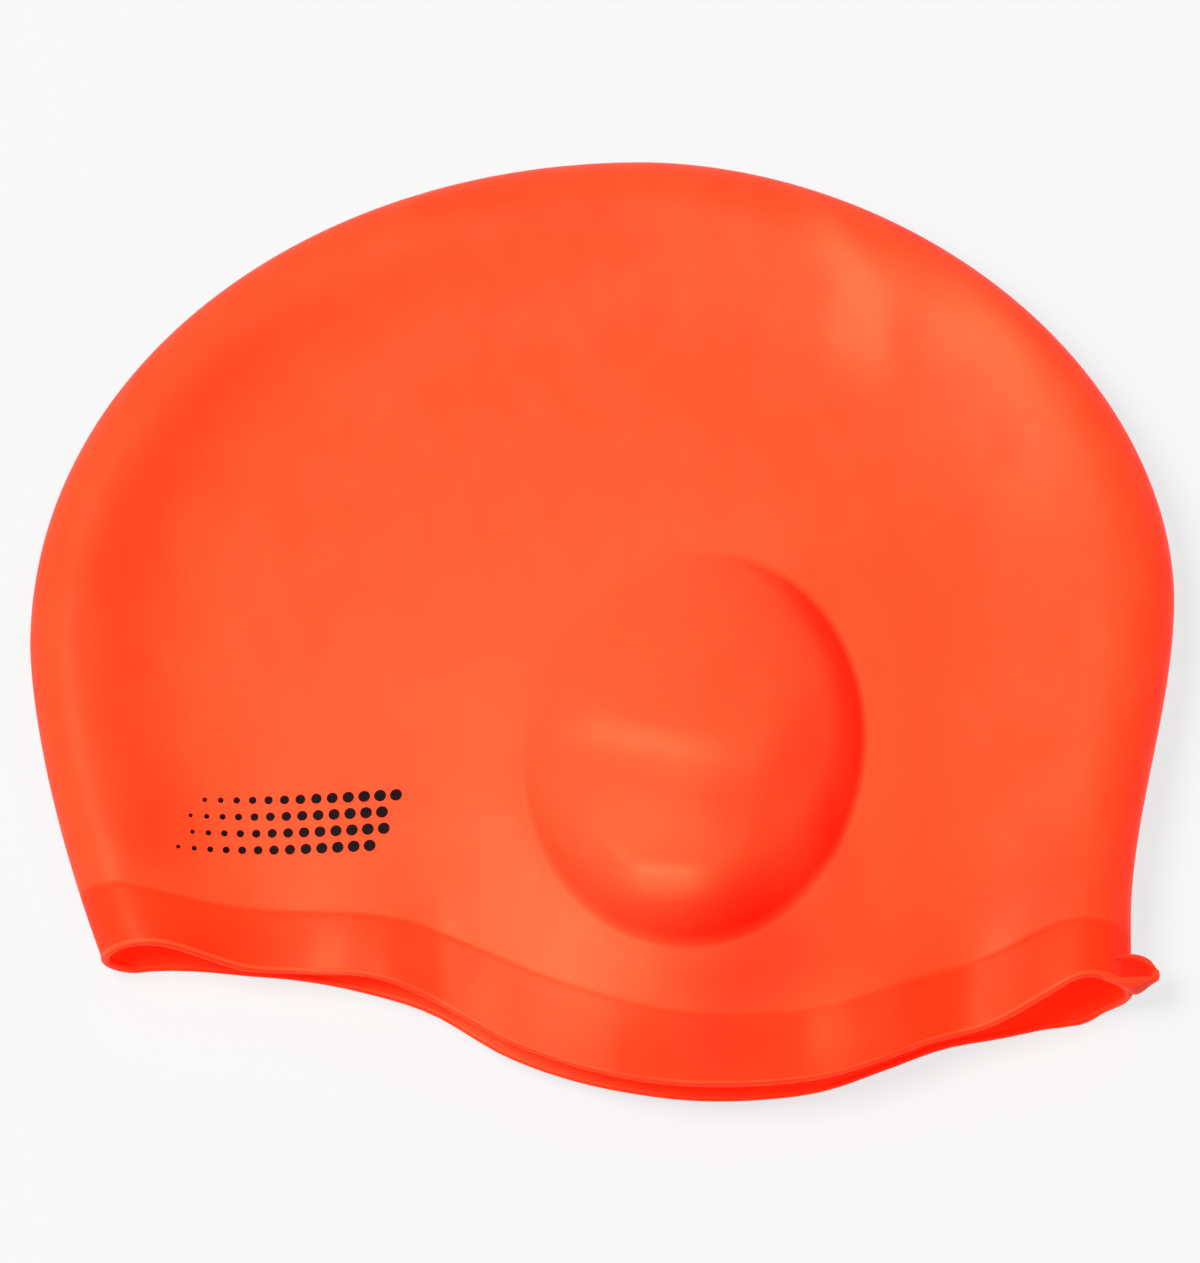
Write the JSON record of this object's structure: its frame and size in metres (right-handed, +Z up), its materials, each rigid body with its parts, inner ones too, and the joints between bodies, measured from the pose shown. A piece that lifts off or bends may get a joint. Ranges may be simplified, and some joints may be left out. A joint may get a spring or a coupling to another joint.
{
  "type": "swim cap",
  "caption": "Moulded silicone swim cap with a raised ear pocket on each side and a thicker rim that dips over the ears, lying on its side.",
  "frame": {"origin": "on the floor, under the middle of the cap between its front and back folds and between its crown and its rim", "axes": "+X from the front of the cap to its back, +Y from the rim to the crown, +Z up from the floor that the cap lies on"},
  "size_m": [0.23, 0.1972, 0.0387],
  "materials": {
    "silicone": "satin moulded silicone"
  },
  "bodies": {
    "root": {"cap_shell": "silicone"}
  },
  "joints": []
}
